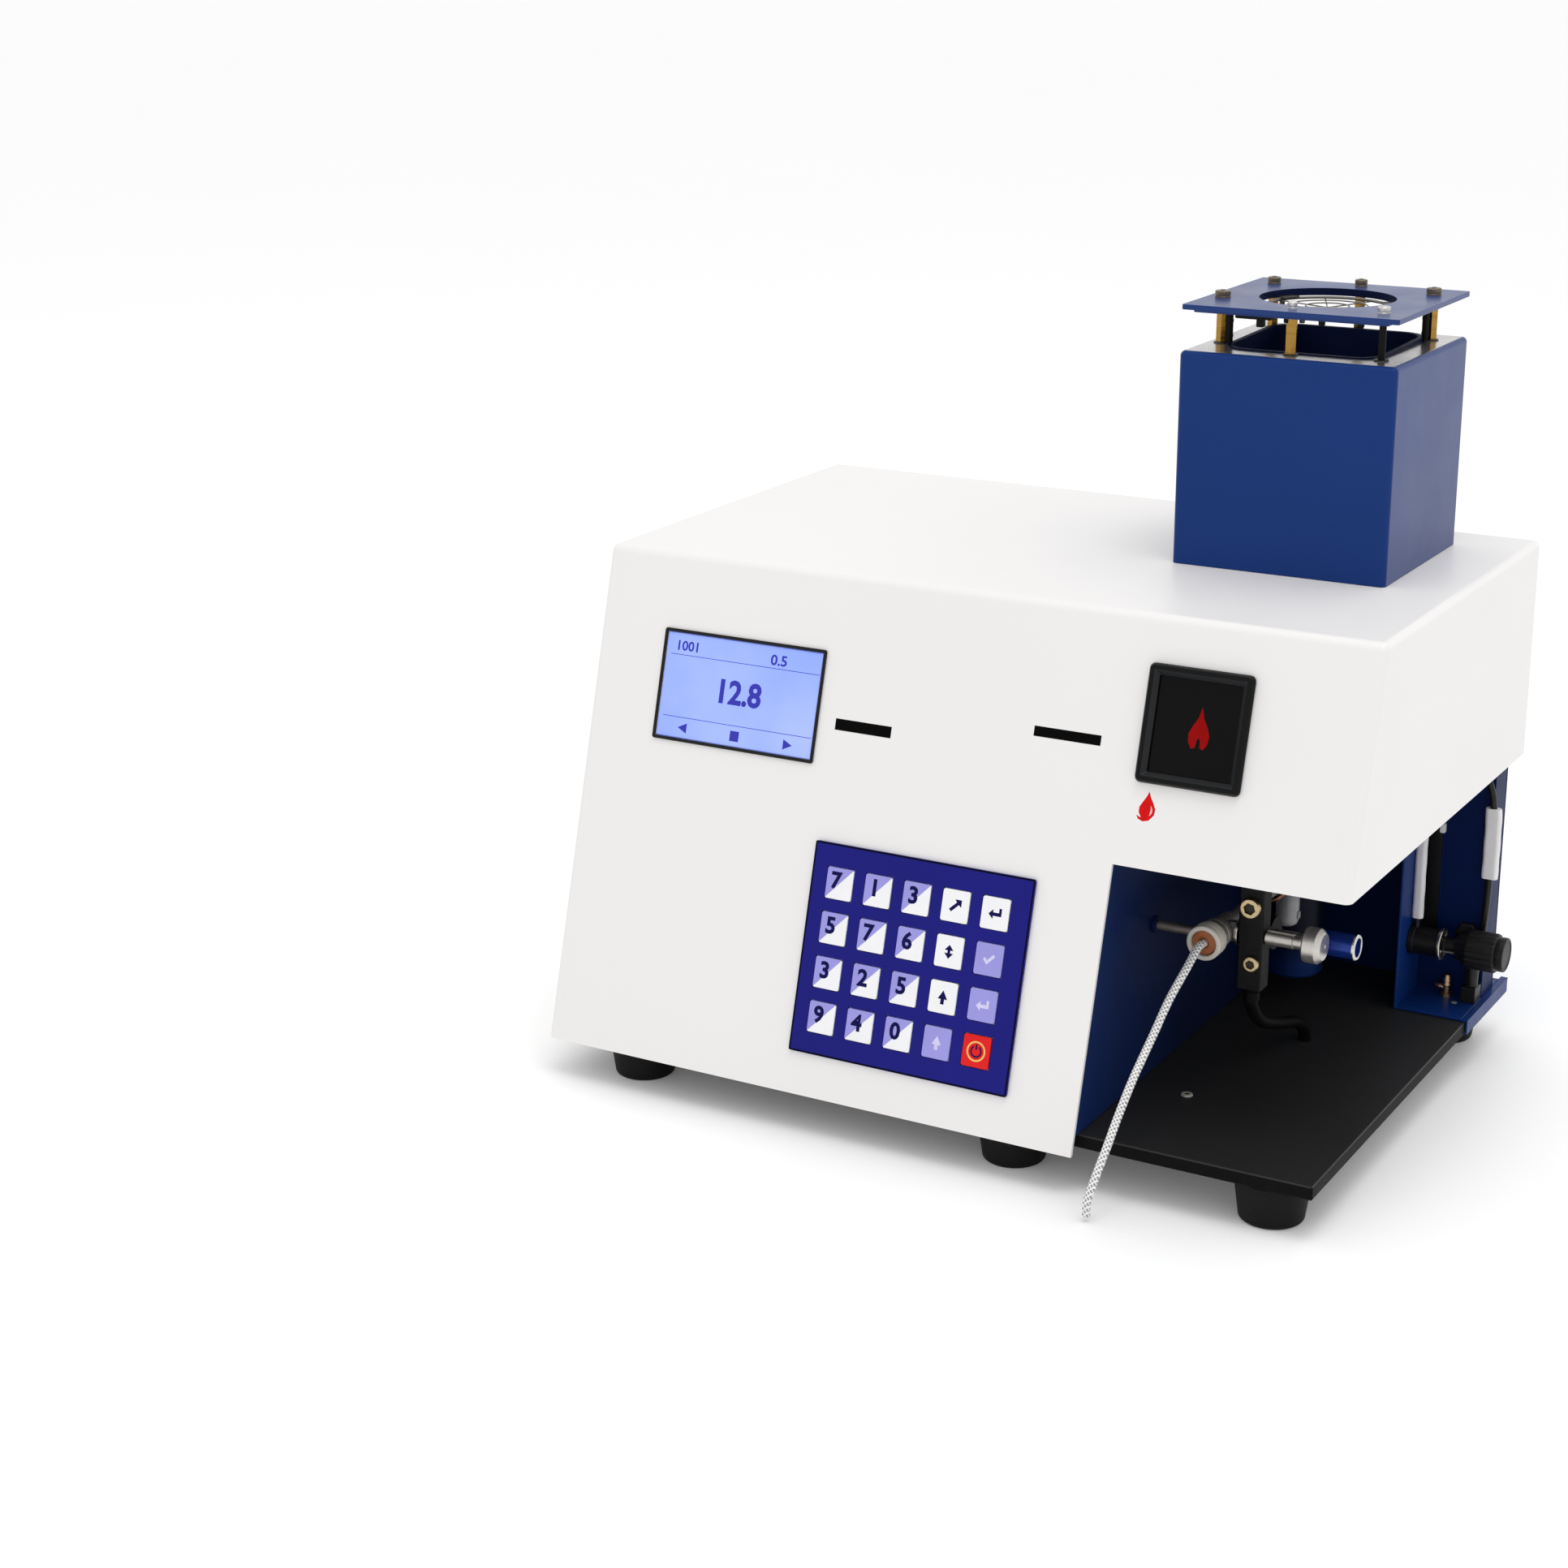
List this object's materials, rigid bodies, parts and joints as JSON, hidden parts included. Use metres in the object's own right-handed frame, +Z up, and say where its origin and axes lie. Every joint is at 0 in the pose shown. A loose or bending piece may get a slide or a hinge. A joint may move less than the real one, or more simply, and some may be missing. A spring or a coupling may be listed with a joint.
{
  "type": "flame photometer",
  "caption": "Bench flame photometer: sloping-front sheet case with display, keypad and flame window, open burner bay, guarded chimney and hanging sample tube.",
  "frame": {"origin": "on the bench, under the middle of the outline of the case, its chimney and its knobs", "axes": "+X to the right as the user faces the panel, +Y to the back, +Z up"},
  "size_m": [0.465, 0.354, 0.4349],
  "materials": {
    "white_paint": "off-white powder coat, fine orange peel, satin",
    "blue_paint": "deep blue powder coat, satin",
    "black_paint": "black powder coat",
    "base_black": "glossy black plate with grey sawn edges",
    "foot_rubber": "matte black",
    "display_frame": "fine black",
    "display_screen": "lit blue screen",
    "window_bezel": "semi-gloss black",
    "window_glass": "dark tinted glass",
    "keypad_overlay": "deep blue film, fine grain",
    "key_film": "printed film, white and pale blue",
    "guard_paint": "deep blue powder coat on brass pillars",
    "wire_steel": "bright drawn wire",
    "chamber_blue": "blue anodised",
    "burner_steel": "turned stainless steel",
    "shield_steel": "rolled sheet, heat tinted",
    "nickel_plate": "satin nickel plate",
    "collar_cream": "cream, smooth",
    "seal_orange": "orange brown",
    "block_black": "machined black plastic",
    "knob_steel": "turned, bevelled, fine ribs",
    "grip_blue": "blue anodised with a bright end ring",
    "igniter_ceramic": "pale grey ceramic look",
    "waste_hose": "matte black hose",
    "regulator_black": "moulded black",
    "optics_black": "matte black",
    "board_green": "green circuit board",
    "transformer_core": "varnished laminations",
    "inlet_black": "moulded black",
    "clear_tube": "translucent tubing"
  },
  "bodies": {
    "case": {"air_pipe": "nickel_plate", "base_plate": "base_black", "burner_deck": "black_paint", "burner_tube": "burner_steel", "chimney_housing": "blue_paint", "control_box": "blue_paint", "cover": "white_paint", "display_frame": "display_frame", "display_module": "display_screen", "flame_shield": "shield_steel", "foot_front_left": "foot_rubber", "foot_front_middle": "foot_rubber", "foot_front_right": "foot_rubber", "foot_rear_left": "foot_rubber", "foot_rear_middle": "foot_rubber", "foot_rear_right": "foot_rubber", "guard_plate": "guard_paint", "igniter": "igniter_ceramic", "keypad_overlay": "keypad_overlay", "main_board": "board_green", "mains_inlet": "inlet_black", "mixing_chamber": "chamber_blue", "nebuliser_body": "nickel_plate", "nebuliser_seal": "seal_orange", "optics_tube": "optics_black", "partition_wall": "blue_paint", "power_transformer": "transformer_core", "rear_panel": "blue_paint", "regulator_body": "regulator_black", "sample_tube": "clear_tube", "valve_block": "block_black", "valve_stem": "nickel_plate", "waste_tube": "waste_hose", "window_bezel": "window_bezel", "window_glass": "window_glass", "wire_guard": "wire_steel"},
    "key_1_1": {"key_1_1": "key_film"},
    "key_1_2": {"key_1_2": "key_film"},
    "key_1_3": {"key_1_3": "key_film"},
    "key_1_4": {"key_1_4": "key_film"},
    "key_1_5": {"key_1_5": "key_film"},
    "key_2_1": {"key_2_1": "key_film"},
    "key_2_2": {"key_2_2": "key_film"},
    "key_2_3": {"key_2_3": "key_film"},
    "key_2_4": {"key_2_4": "key_film"},
    "key_2_5": {"key_2_5": "key_film"},
    "key_3_1": {"key_3_1": "key_film"},
    "key_3_2": {"key_3_2": "key_film"},
    "key_3_3": {"key_3_3": "key_film"},
    "key_3_4": {"key_3_4": "key_film"},
    "key_3_5": {"key_3_5": "key_film"},
    "key_4_1": {"key_4_1": "key_film"},
    "key_4_2": {"key_4_2": "key_film"},
    "key_4_3": {"key_4_3": "key_film"},
    "key_4_4": {"key_4_4": "key_film"},
    "key_4_5": {"key_4_5": "key_film"},
    "collar": {"nebuliser_collar": "collar_cream"},
    "fuel_knob": {"valve_knob": "knob_steel"},
    "grip": {"valve_grip": "grip_blue"},
    "air_knob": {"regulator_knob": "regulator_black"}
  },
  "joints": [
    {"name": "key_1_1_press", "type": "slide", "parent": "case", "child": "key_1_1", "axis": [0, 0.962, -0.2731], "range_m": [0, 0.0005], "stiffness_N_per_m": 5000},
    {"name": "key_1_2_press", "type": "slide", "parent": "case", "child": "key_1_2", "axis": [0, 0.962, -0.2731], "range_m": [0, 0.0005], "stiffness_N_per_m": 5000},
    {"name": "key_1_3_press", "type": "slide", "parent": "case", "child": "key_1_3", "axis": [0, 0.962, -0.2731], "range_m": [0, 0.0005], "stiffness_N_per_m": 5000},
    {"name": "key_1_4_press", "type": "slide", "parent": "case", "child": "key_1_4", "axis": [0, 0.962, -0.2731], "range_m": [0, 0.0005], "stiffness_N_per_m": 5000},
    {"name": "key_1_5_press", "type": "slide", "parent": "case", "child": "key_1_5", "axis": [0, 0.962, -0.2731], "range_m": [0, 0.0005], "stiffness_N_per_m": 5000},
    {"name": "key_2_1_press", "type": "slide", "parent": "case", "child": "key_2_1", "axis": [0, 0.962, -0.2731], "range_m": [0, 0.0005], "stiffness_N_per_m": 5000},
    {"name": "key_2_2_press", "type": "slide", "parent": "case", "child": "key_2_2", "axis": [0, 0.962, -0.2731], "range_m": [0, 0.0005], "stiffness_N_per_m": 5000},
    {"name": "key_2_3_press", "type": "slide", "parent": "case", "child": "key_2_3", "axis": [0, 0.962, -0.2731], "range_m": [0, 0.0005], "stiffness_N_per_m": 5000},
    {"name": "key_2_4_press", "type": "slide", "parent": "case", "child": "key_2_4", "axis": [0, 0.962, -0.2731], "range_m": [0, 0.0005], "stiffness_N_per_m": 5000},
    {"name": "key_2_5_press", "type": "slide", "parent": "case", "child": "key_2_5", "axis": [0, 0.962, -0.2731], "range_m": [0, 0.0005], "stiffness_N_per_m": 5000},
    {"name": "key_3_1_press", "type": "slide", "parent": "case", "child": "key_3_1", "axis": [0, 0.962, -0.2731], "range_m": [0, 0.0005], "stiffness_N_per_m": 5000},
    {"name": "key_3_2_press", "type": "slide", "parent": "case", "child": "key_3_2", "axis": [0, 0.962, -0.2731], "range_m": [0, 0.0005], "stiffness_N_per_m": 5000},
    {"name": "key_3_3_press", "type": "slide", "parent": "case", "child": "key_3_3", "axis": [0, 0.962, -0.2731], "range_m": [0, 0.0005], "stiffness_N_per_m": 5000},
    {"name": "key_3_4_press", "type": "slide", "parent": "case", "child": "key_3_4", "axis": [0, 0.962, -0.2731], "range_m": [0, 0.0005], "stiffness_N_per_m": 5000},
    {"name": "key_3_5_press", "type": "slide", "parent": "case", "child": "key_3_5", "axis": [0, 0.962, -0.2731], "range_m": [0, 0.0005], "stiffness_N_per_m": 5000},
    {"name": "key_4_1_press", "type": "slide", "parent": "case", "child": "key_4_1", "axis": [0, 0.962, -0.2731], "range_m": [0, 0.0005], "stiffness_N_per_m": 5000},
    {"name": "key_4_2_press", "type": "slide", "parent": "case", "child": "key_4_2", "axis": [0, 0.962, -0.2731], "range_m": [0, 0.0005], "stiffness_N_per_m": 5000},
    {"name": "key_4_3_press", "type": "slide", "parent": "case", "child": "key_4_3", "axis": [0, 0.962, -0.2731], "range_m": [0, 0.0005], "stiffness_N_per_m": 5000},
    {"name": "key_4_4_press", "type": "slide", "parent": "case", "child": "key_4_4", "axis": [0, 0.962, -0.2731], "range_m": [0, 0.0005], "stiffness_N_per_m": 5000},
    {"name": "key_4_5_press", "type": "slide", "parent": "case", "child": "key_4_5", "axis": [0, 0.962, -0.2731], "range_m": [0, 0.0005], "stiffness_N_per_m": 5000},
    {"name": "collar_turn", "type": "hinge", "parent": "case", "child": "collar", "pos_m": [0.1252, -0.0752, 0.1168], "axis": [0, -1, 0], "range_deg": [-180, 180]},
    {"name": "fuel_valve_turn", "type": "hinge", "parent": "case", "child": "fuel_knob", "pos_m": [0.1803, -0.0542, 0.1168], "axis": [1, 0, 0], "range_deg": [-360, 720]},
    {"name": "rear_valve_turn", "type": "hinge", "parent": "case", "child": "grip", "pos_m": [0.184, -0.0377, 0.1133], "axis": [1, 0, 0], "range_deg": [-360, 720]},
    {"name": "air_regulator_turn", "type": "hinge", "parent": "case", "child": "air_knob", "pos_m": [0.216, 0.1065, 0.0676], "axis": [1, 0, 0], "range_deg": [-1080, 1080]}
  ]
}
